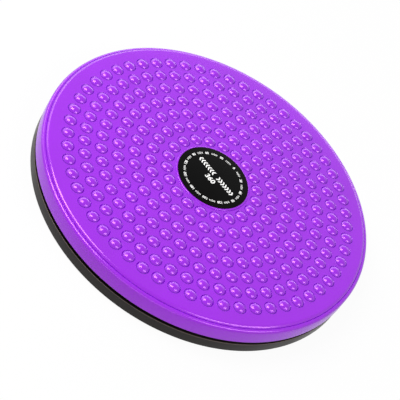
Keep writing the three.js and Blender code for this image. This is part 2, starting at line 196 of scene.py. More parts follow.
class DialSizes(PropertyGroup):
    label_radius: size("Label radius", "Radius of the film", HIGH["dial_label"].x)
    scale_radius: size("Scale radius", "Middle of the ring of numbers", 21.9 * MM)
    digit_height: size("Digit height", "Height of the scale's digits", 1.9 * MM)
    chevron_height: size("Chevron height", "Height of the row of turning marks", 4.0 * MM)
    chevron_stroke: size("Chevron stroke", "Width of a turning mark's bars", 1.15 * MM)
    chevron_pitch: size("Chevron pitch", "From one turning mark to the next", 2.35 * MM)
    chevron_gap: size("Chevron gap", "From the middle of the row to its first mark", 1.6 * MM)
    row_offset: size("Row offset", "From the middle to each of the two rows", 3.0 * MM)
    reading: tilt("Reading", "Turn of the print about the axis", -32.75)
    ink: size("Ink thickness", "Thickness of the printed ink", 0.02 * MM)


class Colours(PropertyGroup):
    top: colour("Top", "Purple plastic of the studded plate", "8D10D3")
    # Painted shade: multiplied into the top's colour in the crease around each stud
    stud_ring: colour("Stud ring", "Multiplied into the top's colour around each stud", "BC3FD7")
    sheen: colour("Sheen", "Tint of the light that the top mirrors", "FFB2FF")
    base: colour("Base", "Black plastic of the base and the cap", "1D1916")
    # Painted highlight: a paler line along the base's upper edge
    rubbed: colour("Edge highlight", "Painted highlight along the base's upper edge", "5C5049")
    film: colour("Film", "Black label film", "070707")
    ink: colour("Ink", "White ink on the label", "F2F2F0")
    nylon: colour("Nylon", "Undyed nylon of the cage and the bush", "E6E1D2")
    insert: colour("Insert", "Blue nylon ring of the lock nut", "355FAE")
    zinc: colour("Zinc", "Zinc plating", "C2C5C9")
    steel: colour("Ball steel", "Polished ball steel", "CDD0D4")
    rubber: colour("Rubber", "Foot pads", "1B1A1A")


class StageSettings(PropertyGroup):
    camera_azimuth: tilt("Azimuth", "Camera's bearing from +X", -100.868)
    camera_elevation: tilt("Elevation", "Camera's height over the horizon", 43.089)
    camera_roll: tilt("Roll", "Camera's turn about its own line of sight", 35.01)
    camera_distance: size("Camera distance", "From the camera to the point it aims at", 1197.19 * MM)
    camera_aim: FloatVectorProperty(
        name="Aim", description="Point that the camera aims at", unit="LENGTH",
        default=(-2.93 * MM, -22.92 * MM, 26.0 * MM),
    )
    lens: FloatProperty(name="Lens", description="Focal length", default=156.69, min=1, unit="CAMERA")
    room_light: fraction("Room light", "Strength of the pale room", 0.26)
    floor_seen: fraction("Floor seen", "Share of the background where the camera sees the floor", 0.94)
    floor_mirrored: fraction("Floor mirrored", "Share of the background where gloss mirrors the floor", 0.55)
    background: colour("Background", "Paper behind and under the disc", "FFFFFF")
    floor: colour("Floor", "Pale floor's own colour", "E8E8E6")


class DiscSettings(PropertyGroup):
    top: PointerProperty(type=TopSizes)
    base: PointerProperty(type=BaseSizes)
    bearing: PointerProperty(type=BearingSizes)
    pivot: PointerProperty(type=PivotSizes)
    dial: PointerProperty(type=DialSizes)
    colours: PointerProperty(type=Colours)
    stage: PointerProperty(type=StageSettings)


# Shapes: each one is an array of points and an array of faces with four corners; a triangle repeats its last

def rounded(rows, steps=4):
    """Outline with rounded corners. A row is radius, height, corner radius.

    Each corner becomes an arc between its two tangent points, about the centre that lies on the corner's
    bisector at corner radius / sin(half the corner's angle).
    """
    rows = np.array(rows, float)
    corner, bend = rows[:, :2], rows[:, 2:]
    back = np.roll(corner, 1, 0) - corner
    ahead = np.roll(corner, -1, 0) - corner
    back /= np.linalg.norm(back, axis=1, keepdims=True)
    ahead /= np.linalg.norm(ahead, axis=1, keepdims=True)
    half = np.maximum(np.arccos(np.clip((back * ahead).sum(1, keepdims=True), -1, 1)) / 2, 1e-6)
    middle = back + ahead
    middle /= np.maximum(np.linalg.norm(middle, axis=1, keepdims=True), 1e-9)
    centre = corner + middle * bend / np.sin(half)
    arm = corner + back * bend / np.tan(half) - centre
    side = np.sign(ahead[:, :1] * back[:, 1:] - ahead[:, 1:] * back[:, :1])
    angle = side * (math.pi - 2 * half) * np.linspace(0, 1, steps + 1)
    across = centre[:, :1] + arm[:, :1] * np.cos(angle) - arm[:, 1:] * np.sin(angle)
    up = centre[:, 1:] + arm[:, :1] * np.sin(angle) + arm[:, 1:] * np.cos(angle)
    points = np.stack([across, up], -1).reshape(-1, 2)
    moved = np.linalg.norm(np.diff(points, axis=0), axis=1) > 1e-8
    return points[np.concatenate([[True], moved])]


def arc_rows(centre, height, radius, start, end, steps):
    """Rows of an outline along an arc, from one angle to another in degrees."""
    angle = np.radians(np.linspace(start, end, steps + 1))
    return np.stack([centre + radius * np.cos(angle), height + radius * np.sin(angle), 0 * angle], 1).tolist()


def grid_faces(index):
    """Faces between neighbours of a grid of point numbers, first axis around, second along the outline."""
    return np.stack([index[:-1, :-1], index[1:, :-1], index[1:, 1:], index[:-1, 1:]], -1).reshape(-1, 4)


def turned(outline, sides, closed=False, flats=None):
    """An outline swept about the Z axis: x = r cos a, y = r sin a, z = height. The material is on its left.

    Where a width across flats is given, r is at most flats / 2 / cos(angle from the middle of the nearest
    side), a hexagon with a corner on +X. A cone that is narrower than its corners shows as their chamfer.
    """
    angle = 2 * math.pi * np.arange(sides)[:, None] / sides
    radius, height = np.array(outline, float).T
    if flats:
        radius = np.minimum(radius, flats / 2 / np.cos(np.mod(angle, math.pi / 3) - math.pi / 6))
    points = np.stack([radius * np.cos(angle), radius * np.sin(angle), height + 0 * angle], -1)
    index = np.arange(sides * len(height)).reshape(sides, -1)
    index = np.concatenate([index, index[:1]])
    if closed:
        index = np.concatenate([index, index[:, :1]], 1)
    return points.reshape(-1, 3), grid_faces(index)


def lofted(sections):
    """A closed skin over a row of closed sections of equal length, each end drawn to its section's centre."""
    ends = np.repeat(sections[[0, -1]].mean(1, keepdims=True), sections.shape[1], 1)
    points = np.concatenate([ends[:1], sections, ends[1:]])
    index = np.arange(points.shape[0] * points.shape[1]).reshape(points.shape[:2])
    index = np.concatenate([index, index[:, :1]], 1)
    return points.reshape(-1, 3), grid_faces(index)


def at(level, radius):
    """Height of a band at a radius. Its level is one height, or a function of the radius."""
    return level(radius) if callable(level) else level + 0 * radius


def zipped(inner, outer, level, up=True):
    """A band between two circles with unequal numbers of points, both starting at +X.

    A circle is radius and number of points. Each edge of one circle meets the point of the other that lies
    between the edges whose middles come before and after.
    """
    middles, parts = [], []
    for radius, count in (inner, outer):
        angle = 2 * math.pi * np.arange(count) / count
        height = at(level, radius) + 0 * angle
        parts.append(np.stack([radius * np.cos(angle), radius * np.sin(angle), height], 1))
        middles.append(2 * math.pi * (np.arange(count) + 0.5) / count)
    inside, outside = inner[1], outer[1]
    a, b = np.arange(inside), np.arange(outside)
    to_outer = inside + np.searchsorted(middles[1], middles[0], "left") % outside
    to_inner = np.searchsorted(middles[0], middles[1], "right") % inside
    faces = np.concatenate([
        np.stack([a, to_outer, (a + 1) % inside, (a + 1) % inside], 1),
        np.stack([inside + b, inside + (b + 1) % outside, to_inner, to_inner], 1),
    ])
    return np.concatenate(parts), faces if up else faces[:, ::-1]


def cells(count, ring, inner, outer, rows, level, around, up=True):
    """A band cut in equal cells, with one round form in the middle of each.

    Around a form the points lie at (distance cos a, distance sin a) from its centre, one circle for each row
    of distance and height, and outside them on the cell's border, whose corners are at a = 45, 135, 225 and
    315 degrees.
    """
    half = math.pi / count
    corner = np.array([[outer, half], [inner, half], [inner, -half], [outer, -half], [outer, half]])
    place = 4 * np.arange(around) / around
    side = place.astype(int)
    share = (place - side)[:, None]
    border = corner[side] * (1 - share) + corner[side + 1] * share
    edge = border[:, 0] * np.exp(1j * border[:, 1])
    distance, height = np.array(rows, float).T
    circle = ring + distance[:, None] * np.exp(1j * (math.pi / 4 + 2 * math.pi * np.arange(around) / around))
    flat = np.concatenate([edge[None], circle])
    rise = np.concatenate([[0], height])[:, None] + at(level, np.abs(flat))
    turn = np.exp(2j * math.pi * np.arange(count) / count)[:, None, None]
    flat = flat * turn
    points = np.stack([flat.real, flat.imag, rise + 0 * flat.real], -1)
    index = np.arange(flat.size).reshape(flat.shape)
    index = np.concatenate([index, index[:, :, :1]], 2)
    faces = np.stack([index[:, :-1, :-1], index[:, :-1, 1:], index[:, 1:, 1:], index[:, 1:, :-1]], -1)
    faces = faces.reshape(-1, 4)
    return points.reshape(-1, 3), faces if up else faces[:, ::-1]


def together(*shapes):
    """Several shapes as one."""
    starts = np.cumsum([0] + [len(points) for points, _ in shapes[:-1]])
    points = np.concatenate([points for points, _ in shapes])
    return points, np.concatenate([faces + start for (_, faces), start in zip(shapes, starts)])


def placed(shape, x=0.0, y=0.0, z=0.0, turn=0.0):
    """A shape moved, then turned about the Z axis: (x cos t - y sin t, x sin t + y cos t, z)."""
    points, faces = shape
    points = points + (x, y, z)
    cos, sin = math.cos(turn), math.sin(turn)
    return points @ np.array([[cos, sin, 0], [-sin, cos, 0], [0, 0, 1]]), faces


def welded(shape):
    """A shape whose points within a ten-thousandth of a millimetre are one, without its empty faces."""
    points, faces = shape
    spots = np.round(points / (1e-4 * MM))
    _, first, number = np.unique(spots, axis=0, return_index=True, return_inverse=True)
    faces = number.reshape(-1)[faces]
    real = faces != np.roll(faces, -1, 1)
    corners = real.sum(1)
    three = corners == 3
    return points[first], faces[corners == 4], faces[three][real[three]].reshape(-1, 3)


def added(name, data):
    """A new object in the scene."""
    made = bpy.data.objects.new(name, data)
    bpy.context.scene.collection.objects.link(made)
    return made


def meshed(name, shape):
    """A mesh of a welded shape, and its points."""
    points, quads, triangles = welded(shape)
    mesh = bpy.data.meshes.new(name)
    mesh.from_pydata(points.tolist(), [], quads.tolist() + triangles.tolist())
    return mesh, points


# Materials

# Sockets of a Mix node that mixes colours, by number because its other kinds have the same names
MIX_SHARE, MIX_FIRST, MIX_SECOND, MIX_RESULT = 0, 6, 7, 2


def empty_tree(owner):
    """The node tree of a material or world, without its first nodes."""
    owner.use_nodes = True
    owner.node_tree.nodes.clear()
    return owner.node_tree


def node(tree, kind, values=(), links=(), **settings):
    """Adds a node with its settings, its sockets' values and the outputs that its sockets read."""
    made = tree.nodes.new(kind)
    for name, value in settings.items():
        setattr(made, name, value)
    for name, value in dict(values).items():
        made.inputs[name].default_value = value
    for name, source in dict(links).items():
        tree.links.new(source, made.inputs[name])
    return made


def surface(tree, shade, roughness, mottle, relief=None, **sockets):
    """One shader, with a soft mottle of its colour and roughness, and a fine relief.

    mottle is its size in metres, the share by which the colour varies and the roughness's spread. relief is
    a size and a depth in metres. Returns the shader and the outputs that give its colour and roughness.
    """
    place = node(tree, "ShaderNodeTexCoord").outputs["Object"]
    # The plain colour and roughness stay on their sockets, for a viewer that doesn't follow the nodes
    shader = node(tree, "ShaderNodeBsdfPrincipled", {"Base Color": shade, "Roughness": roughness, **sockets})
    node(tree, "ShaderNodeOutputMaterial", links={"Surface": shader.outputs["BSDF"]})

    # Noise stays near a half, so the two ends of its colours and roughness stand closer together than 0 and 1
    low, high = 0.3, 0.7
    width, tint, spread = mottle
    mottled = node(tree, "ShaderNodeTexNoise", {"Scale": 1 / width, "Detail": 3.0}, {"Vector": place})
    cloud = mottled.outputs["Fac"]
    tone = node(tree, "ShaderNodeValToRGB", links={"Fac": cloud})
    dark, light = tone.color_ramp.elements
    dark.position, dark.color = low, [channel * (1 - tint) for channel in shade[:3]] + [1.0]
    light.position, light.color = high, [min(1.0, channel * (1 + tint)) for channel in shade[:3]] + [1.0]
    tree.links.new(tone.outputs["Color"], shader.inputs["Base Color"])
    gloss = node(tree, "ShaderNodeMapRange", {
        "From Min": low, "From Max": high, "To Min": roughness - spread, "To Max": roughness + spread,
    }, {"Value": cloud})
    tree.links.new(gloss.outputs["Result"], shader.inputs["Roughness"])
    if relief:
        width, depth = relief
        grain = node(tree, "ShaderNodeTexNoise", {"Scale": 1 / width, "Detail": 2.0}, {"Vector": place})
        height = grain.outputs["Fac"]
        bump = node(tree, "ShaderNodeBump", {"Strength": 1.0, "Distance": depth}, {"Height": height})
        tree.links.new(bump.outputs["Normal"], shader.inputs["Normal"])
    return shader, tone.outputs["Color"], gloss.outputs["Result"]


def polypropylene_gloss_moulded(tree, colours):
    """Polypropylene, injection moulded in a polished mould: a waxy gloss with a faint orange peel.

    A thin ring in the corner around each stud is painted darker, as painted shade for the crease at its foot,
    and made a little duller.
    It fades in and out again over two ranges of the distance from the stud's axis, in stud radii.
    """
    shader, plain, even = surface(
        tree, colours.top, roughness=0.19, mottle=(35 * MM, 0.03, 0.02), relief=(3.5 * MM, 0.006 * MM),
        IOR=1.8, **{"Specular Tint": colours.sheen},
    )
    distance = node(tree, "ShaderNodeAttribute", attribute_name="stud_distance").outputs["Fac"]
    inside = node(
        tree, "ShaderNodeMapRange", {"From Min": 0.97, "From Max": 1.02}, {"Value": distance},
        interpolation_type="SMOOTHSTEP",
    ).outputs["Result"]
    crease_shade = node(
        tree, "ShaderNodeMapRange", {"From Min": 1.08, "From Max": 1.16, "To Max": 0.0},
        {"Value": distance, "To Min": inside}, interpolation_type="SMOOTHSTEP",
    ).outputs["Result"]
    # Painted shade: the top's colour is multiplied darker in the ring around each stud's foot
    tone = node(
        tree, "ShaderNodeMix", {MIX_SECOND: colours.stud_ring},
        {MIX_SHARE: crease_shade, MIX_FIRST: plain}, data_type="RGBA", blend_type="MULTIPLY",
    )
    tree.links.new(tone.outputs[MIX_RESULT], shader.inputs["Base Color"])
    duller = 0.04
    rough = node(tree, "ShaderNodeMath", {1: duller}, {0: crease_shade, 2: even}, operation="MULTIPLY_ADD")
    tree.links.new(rough.outputs["Value"], shader.inputs["Roughness"])


def polypropylene_matt_moulded(tree, colours):
    """Polypropylene from a spark-eroded mould: a soft sheen broken by a fine pebble.

    The pebble is drawn 0.6 mm wide to show. A paler line along the base's upper edge is a painted highlight.
    """
    shader, plain, _ = surface(
        tree, colours.base, roughness=0.36, mottle=(25 * MM, 0.10, 0.05), relief=(0.6 * MM, 0.012 * MM),
        IOR=1.3,
    )
    # Painted highlight: a paler colour mixed in on the rounding of the base's upper edge
    rubbed = node(tree, "ShaderNodeAttribute", attribute_name="rubbed").outputs["Fac"]
    tone = node(
        tree, "ShaderNodeMix", {MIX_SECOND: colours.rubbed}, {MIX_SHARE: rubbed, MIX_FIRST: plain},
        data_type="RGBA",
    )
    tree.links.new(tone.outputs[MIX_RESULT], shader.inputs["Base Color"])


def vinyl_film_laminated(tree, colours):
    """Vinyl film with a satin laminate: nearly black, even, with a slow ripple where it is stuck down."""
    surface(
        tree, colours.film, roughness=0.24, mottle=(12 * MM, 0.08, 0.03), relief=(9 * MM, 0.01 * MM), IOR=1.12
    )


def screen_ink_white(tree, colours):
    """Screen printed ink: an even, dull white that lies just over the film."""
    surface(tree, colours.ink, roughness=0.5, mottle=(3 * MM, 0.03, 0.04), IOR=1.5)


def moulded_nylon(tree, shade):
    """Nylon 66, moulded: milky, with light that goes a little way in."""
    surface(
        tree, shade, roughness=0.42, mottle=(10 * MM, 0.05, 0.05), relief=(0.8 * MM, 0.01 * MM), IOR=1.53,
        **{"Subsurface Weight": 0.15, "Subsurface Scale": 0.6 * MM},
    )


def nylon_moulded_undyed(tree, colours):
    """Nylon 66, moulded and left undyed: the warm white of the raw plastic."""
    moulded_nylon(tree, colours.nylon)


def nylon_moulded_blue(tree, colours):
    """Nylon 66, moulded and dyed through: the blue that marks a lock nut's ring."""
    moulded_nylon(tree, colours.insert)


def steel_zinc_plated(tree, colours):
    """Steel, pressed and zinc plated: a bright grey with the cloudy bloom of the bath."""
    surface(
        tree, colours.zinc, roughness=0.32, mottle=(4 * MM, 0.12, 0.09), relief=(0.5 * MM, 0.006 * MM),
        Metallic=1.0,
    )


def chromium_steel_lapped(tree, colours):
    """Chromium steel, ground and lapped: a mirror with hardly a mark."""
    surface(tree, colours.steel, roughness=0.09, mottle=(2 * MM, 0.03, 0.03), Metallic=1.0)


def rubber_compression_moulded(tree, colours):
    """Rubber, compression moulded: dull and dark, with a dusty, uneven skin."""
    surface(
        tree, colours.rubber, roughness=0.82, mottle=(5 * MM, 0.25, 0.08), relief=(0.5 * MM, 0.03 * MM),
        IOR=1.52,
    )


def material(finish):
    """The material of a finish, with the finish's name. It is made when it is first asked for."""
    made = bpy.data.materials.get(finish.__name__)
    if made is None:
        made = bpy.data.materials.new(finish.__name__)
        finish(empty_tree(made), bpy.context.scene.twisting_disc.colours)
    return made


def piece(name, shape, finish, body, slot, *nodes, crease=35, marks=None):
    """Adds a finished piece: its mesh, material, the body it rides on and the CAD nodes it stands for.

    marks are named values that its material reads, each worked out for all points at once. Edges sharper
    than the crease, in degrees, stay sharp.
    """
    mesh, points = meshed(name, shape)
    mesh.materials.append(material(finish))
    mesh.shade_smooth()
    mesh.set_sharp_from_angle(angle=math.radians(crease))
    for mark, values in (marks or {}).items():
        mesh.attributes.new(mark, "FLOAT", "POINT").data.foreach_set("value", values(points))
    made = added(name, mesh)
    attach(made, body)
    if nodes:
        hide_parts(*nodes)


# Pieces

# Between these radii each disc passes from its hub's number of sides to its rim's
INNER_JOIN, OUTER_JOIN = 58 * MM, 60 * MM
# How far a rib reaches into the hub and the rail at its ends, and into the plate or the tray along its root
RIB_LAP, RIB_ROOT = 1.5 * MM, 1.2 * MM
# Room between two pieces that fit together
PLAY = 0.3 * MM


def rail(bearing):
    """Inner and outer radius of the rails that carry the races."""
    half = bearing.rail_width / 2
    return bearing.track_radius - half, bearing.track_radius + half


class PieceOperator:
    """What the operators of all pieces have in common."""

    bl_options = {"REGISTER", "UNDO"}

    def settings(self, context):
        return context.scene.twisting_disc


def rib(inner, outer, low, high, settings, index):
    """A rib from one radius to another: a section with rounded corners, carried outwards.

    low and high are pairs, the heights at the inner and the outer end.
    """
    half = settings.rib_thickness / 2
    bend = 0.4 * half
    share = np.linspace(0, 1, 6)
    section = rounded([(half, 0, bend), (half, 1, bend), (-half, 1, bend), (-half, 0, bend)])
    bottom = low[0] + (low[1] - low[0]) * share
    top = high[0] + (high[1] - high[0]) * share
    radius = inner + (outer - inner) * share
    height = bottom[:, None] + (top - bottom)[:, None] * section[:, 1]
    sections = np.stack([radius[:, None] + 0 * height, section[:, 0] + 0 * height, height], -1)
    return placed(lofted(sections), turn=2 * math.pi * (index + 0.5) / settings.rib_count)


class DISC_OT_top_moulding(PieceOperator, Operator):
    """Studded plate with its boss, rim, skirt, upper race, hub and ribs"""

    bl_idname = "twisting_disc.top_moulding"
    bl_label = "Top moulding"

    def execute(self, context):
        settings = self.settings(context)
        top, bearing, pivot = settings.top, settings.bearing, settings.pivot
        last_ring = top.first_ring + (top.rings - 1) * top.ring_spacing

        def level(radius):
            return top.crown_height - top.dome_rise * (radius / last_ring) ** 2

        # Each stud is the cap of a ball, carried on below the plate's face to the bottom of its foot groove
        rim_sides, hub_sides, around = 192, 120, 16
        ball = (top.stud_radius**2 + top.stud_height**2) / (2 * top.stud_height)
        spread = math.acos(1 - (top.stud_height + top.foot_depth) / ball)
        angle = spread * np.array([1, 0.86, 0.5, 0])
        cap = np.stack([ball * np.sin(angle), top.stud_height - ball * (1 - np.cos(angle))], 1)
        stud = [(top.stud_radius + top.stud_foot, 0), *cap.tolist()]

        # Half the band between two rings of studs, where their numbers of points meet
        band = 0.6 * MM
        boss_foot = top.boss_radius + 0.35 * MM
        shapes = []
        before = (boss_foot, hub_sides)
        for ring in range(top.rings):
            radius = top.first_ring + ring * top.ring_spacing
            inner = radius - top.ring_spacing / 2 + band
            outer = radius + top.ring_spacing / 2 - band
            count = top.first_studs + ring * top.more_studs
            shapes.append(cells(count, radius, inner, outer, stud, level, around))
            shapes.append(zipped(before, (inner, count * around // 4), level))
            before = (outer, count * around // 4)
        rim_start = last_ring + top.ring_spacing / 2
        shapes.append(zipped(before, (rim_start, rim_sides), level))

        def under(radius):
            return level(radius) - top.plate_wall

        def from_stud(points):
            """Distance from the nearest stud's axis in stud radii, on the studded face alone."""
            across, along, height = points.T
            radius = np.hypot(across, along)
            ring = np.clip(np.round((radius - top.first_ring) / top.ring_spacing), 0, top.rings - 1)
            count = top.first_studs + ring * top.more_studs
            turn = 2 * math.pi / count * np.round(np.arctan2(along, across) * count / (2 * math.pi))
            centre = top.first_ring + ring * top.ring_spacing
            distance = np.hypot(across - centre * np.cos(turn), along - centre * np.sin(turn))
            skin, far = 0.5 * MM, 3.0
            studded = (np.abs(radius - centre) < top.ring_spacing) & (height > level(radius) - skin)
            return np.where(studded, distance / top.stud_radius, far)

        web_top, bush_hole = HIGH["pivot_bush"].z, pivot.bush_radius + PLAY
        hub = rounded([
            (boss_foot, level(boss_foot), 0), (top.boss_radius, level(top.boss_radius), 0.15 * MM),
            (top.boss_radius - top.boss_taper, top.boss_top, top.boss_round),
            (pivot.cap_seat, top.boss_top, 0.2 * MM), (pivot.cap_seat, pivot.cap_ledge, 0.15 * MM),
            (pivot.socket_radius, pivot.cap_ledge, 0.2 * MM), (pivot.socket_radius, web_top, 0.3 * MM),
            (bush_hole, web_top, 0.2 * MM), (bush_hole, pivot.web_bottom, 0.3 * MM),
            (pivot.top_hub, pivot.web_bottom, 0.4 * MM),
            (pivot.top_hub, under(pivot.top_hub), 0.8 * MM), (INNER_JOIN, under(INNER_JOIN), 0),
        ])
        rail_inner, rail_outer = rail(bearing)
        rail_face = bearing.track_height + bearing.rail_gap
        skirt_inner = top.disc_radius - top.skirt_wall
        plate_edge = top.disc_radius - top.step_width
        step = level(plate_edge) - top.step_depth
        rim = rounded([
            (OUTER_JOIN, under(OUTER_JOIN), 0), (rail_inner, under(rail_inner), 0.8 * MM),
            (rail_inner, rail_face, 0.4 * MM),
            *arc_rows(bearing.track_radius, bearing.track_height, bearing.race_radius, 150, 30, 12),
            (rail_outer, rail_face, 0.4 * MM), (rail_outer, under(rail_outer), 0.8 * MM),
            (skirt_inner, under(plate_edge), 1.5 * MM), (skirt_inner, top.skirt_bottom, 0.3 * MM),
            (top.disc_radius, top.skirt_bottom, 0.5 * MM), (top.disc_radius, step, top.shoulder_round),
            (plate_edge + top.groove_width, step, 0.1 * MM),
            (plate_edge + 0.08 * MM, step - top.groove_depth, 0.05 * MM),
            (plate_edge, level(plate_edge) - top.edge_drop, 0.1 * MM),
            (plate_edge - top.edge_width, level(plate_edge - top.edge_width), top.edge_round),
            (rim_start, level(rim_start), 0),
        ], steps=6)
        shapes.append(turned(hub, hub_sides))
        shapes.append(zipped((INNER_JOIN, hub_sides), (OUTER_JOIN, rim_sides), under, up=False))
        shapes.append(turned(rim, rim_sides))
        start, end = pivot.top_hub - RIB_LAP, rail_inner + RIB_LAP
        low = under(end) - pivot.rib_depth
        high = (under(start) + RIB_ROOT, under(end) + RIB_ROOT)
        for index in range(pivot.rib_count):
            shapes.append(rib(start, end, (low, low), high, pivot, index))
        piece(
            "top_moulding", together(*shapes), polypropylene_gloss_moulded, "top", "top_plastic",
            "top_disc", crease=26, marks={"stud_distance": from_stud},
        )
        return {"FINISHED"}


class DISC_OT_base_moulding(PieceOperator, Operator):
    """Base tray with its wall, lip, lower race, hub, nut pocket, ribs and foot recesses"""

    bl_idname = "twisting_disc.base_moulding"
    bl_label = "Base moulding"

    def execute(self, context):
        settings = self.settings(context)
        base, bearing, pivot = settings.base, settings.bearing, settings.pivot
        sides, hub_sides, around = 192, 96, 48
        hub_face = LOW["pivot_bush"].z - PLAY
        rail_face = bearing.track_height - bearing.rail_gap
        rail_inner, rail_outer = rail(bearing)
        core_inner = bearing.track_radius - bearing.core_width / 2
        core_outer = bearing.track_radius + bearing.core_width / 2
        lip_inner = base.lip_radius - base.lip_wall
        pads_inner, pads_outer = core_outer + 2 * MM, base.base_radius - 2.6 * MM
        core_join, wall_join = pads_inner - 0.6 * MM, pads_outer + 0.6 * MM

        # Two rows just past the upper edge's rounding keep the painted highlight from spreading over the wall
        edge = 1.3 * base.edge_round
        wall = rounded([
            (wall_join, base.underside, 0),
            (pads_outer + 0.9 * MM, base.underside - base.bead, 0.3 * MM),
            (base.base_radius, base.underside - base.bead, base.edge_round),
            (base.base_radius, base.shoulder - edge, 0), (base.base_radius, base.shoulder, base.edge_round),
            (base.base_radius - edge, base.shoulder, 0), (base.lip_radius, base.shoulder, 0.3 * MM),
            (base.lip_radius, base.lip_top, 0.5 * MM), (lip_inner, base.lip_top, 0.5 * MM),
            (lip_inner, base.floor, 0.6 * MM), (rail_outer, base.floor, 0.8 * MM),
            (rail_outer, rail_face, 0.4 * MM),
            *arc_rows(bearing.track_radius, bearing.track_height, bearing.race_radius, -30, -150, 12),
            (rail_inner, rail_face, 0.4 * MM), (rail_inner, base.floor, 0.8 * MM),
            (OUTER_JOIN, base.floor, 0),
        ])
        hub = rounded([
            (INNER_JOIN, base.floor, 0), (pivot.base_hub, base.floor, 0.8 * MM),
            (pivot.base_hub, hub_face, 0.4 * MM), (pivot.hole_radius, hub_face, 0.2 * MM),
            (pivot.hole_radius, pivot.pocket_roof, 0.2 * MM),
            (pivot.nut_pocket, pivot.pocket_roof, 0.3 * MM),
            (pivot.nut_pocket, base.underside, 0.4 * MM), (INNER_JOIN, base.underside, 0),
        ])
        core = rounded([
            (OUTER_JOIN, base.underside, 0), (core_inner, base.underside, 0.3 * MM),
            (core_inner, bearing.core_top, 0.5 * MM), (core_outer, bearing.core_top, 0.5 * MM),
            (core_outer, base.underside, 0.3 * MM), (core_join, base.underside, 0),
        ])
        radius, depth = base.recess_radius, base.recess_depth
        recess = [
            (radius + 0.3 * MM, 0), (radius + 0.08 * MM, 0.08 * MM), (radius, 0.3 * MM),
            (radius, depth - 0.2 * MM), (radius - 0.2 * MM, depth), (0, depth),
        ]
        pads = len(PAD_NODES)
        pad_sides = pads * around // 4
        shapes = [
            turned(wall, sides),
            zipped((INNER_JOIN, hub_sides), (OUTER_JOIN, sides), base.floor),
            turned(hub, hub_sides),
            zipped((INNER_JOIN, hub_sides), (OUTER_JOIN, sides), base.underside, up=False),
            turned(core, sides),
            zipped((core_join, sides), (pads_inner, pad_sides), base.underside, up=False),
            cells(pads, base.pad_circle, pads_inner, pads_outer, recess, base.underside, around, up=False),
            zipped((pads_outer, pad_sides), (wall_join, sides), base.underside, up=False),
        ]
        start, end = pivot.base_hub - RIB_LAP, rail_inner + RIB_LAP
        low, high = base.floor - RIB_ROOT, base.floor + pivot.rib_depth
        for index in range(pivot.rib_count):
            shapes.append(rib(start, end, (low, low), (high, high), pivot, index))

        # Mask of the painted highlight on the base's upper edge
        def on_edge(points):
            """One on the rounding at the top of the outer wall, nothing elsewhere."""
            reach = 1.05 * base.edge_round
            outer = np.hypot(points[:, 0], points[:, 1]) > base.base_radius - reach
            return (outer & (points[:, 2] > base.shoulder - reach)).astype(float)

        piece(
            "base_moulding", together(*shapes), polypropylene_matt_moulded, "base", "base_plastic",
            "base_disc", marks={"rubbed": on_edge},
        )
        return {"FINISHED"}


class DISC_OT_foot_pads(PieceOperator, Operator):
    """Rubber pads in the base's recesses, each with a grooved sole"""

    bl_idname = "twisting_disc.foot_pads"
    bl_label = "Foot pads"

    def execute(self, context):
        base = self.settings(context).base
        radius, top, groove = base.pad_radius, HIGH[PAD_NODES[0]].z, 0.4 * MM
        hollow, ring, rim = 0.26 * radius, 0.52 * radius, 0.64 * radius
        outline = rounded([
            (0, groove, 0), (hollow, groove, 0.1 * MM),
            (hollow, 0, 0.15 * MM), (ring, 0, 0.15 * MM),
            (ring, groove, 0.1 * MM), (rim, groove, 0.1 * MM),
            (rim, 0, 0.15 * MM), (radius, 0, 0.5 * MM),
            (radius, top, 0.2 * MM), (0, top, 0),
        ])
        for index, name in enumerate(PAD_NODES):
            shape = placed(turned(outline, 48), x=base.pad_circle, turn=2 * math.pi * index / len(PAD_NODES))
            piece(f"{name}_rubber", shape, rubber_compression_moulded, "base", "foot_rubber", name)
        return {"FINISHED"}


class DISC_OT_ball_bearing(PieceOperator, Operator):
    """Nylon cage with its pockets, and the steel balls in them"""

    bl_idname = "twisting_disc.ball_bearing"
    bl_label = "Ball bearing"

    def execute(self, context):
        bearing = self.settings(context).bearing
        count, around = len(BALL_NODES), 24
        half, thickness = bearing.cage_width / 2, bearing.cage_thickness
        top = bearing.track_height + thickness / 2
        bottom = top - thickness
        chamfer, edge, wall = 0.25 * MM, 0.3 * MM, 0.5 * MM
        inner, outer = bearing.track_radius - half + wall, bearing.track_radius + half - wall
        hole = bearing.pocket_radius
        pocket = [
            (hole + chamfer, 0), (hole, -chamfer), (hole, chamfer - thickness), (hole + chamfer, -thickness),
        ]
        outer_wall = rounded([
            (outer, bottom, 0), (outer + wall, bottom, edge), (outer + wall, top, edge), (outer, top, 0),
        ])
        inner_wall = rounded([
            (inner, top, 0), (inner - wall, top, edge), (inner - wall, bottom, edge), (inner, bottom, 0),
        ])
        sides = count * around // 4
        cage = together(
            cells(count, bearing.track_radius, inner, outer, pocket, top, around),
            cells(count, bearing.track_radius, inner, outer, pocket[:1], bottom, around, up=False),
            turned(outer_wall, sides),
            turned(inner_wall, sides),
        )
        piece("ball_cage_moulding", cage, nylon_moulded_undyed, "cage", "cage_nylon", "ball_cage")
        ball = turned(rounded(arc_rows(0, 0, bearing.ball_radius, -90, 90, 16)), 28)
        for index, name in enumerate(BALL_NODES):
            turn = 2 * math.pi * index / count
            shape = placed(ball, x=bearing.track_radius, z=bearing.track_height, turn=turn)
            piece(f"{name}_steel", shape, chromium_steel_lapped, name, "ball_steel", name)
        return {"FINISHED"}


def corner_cone(flats, flat_end, face, side):
    """Rows of the 30 degree cone that takes off a hexagon's corners, from its end face outwards.

    From flat_end on, the height leaves the face by tan 30 degrees of the further way, to the side given.
    """
    way = np.linspace(0, 1, 7) * (flats / math.sqrt(3) - flat_end)
    return np.stack([flat_end + way, face + side * way * math.tan(math.radians(30))], 1).tolist()


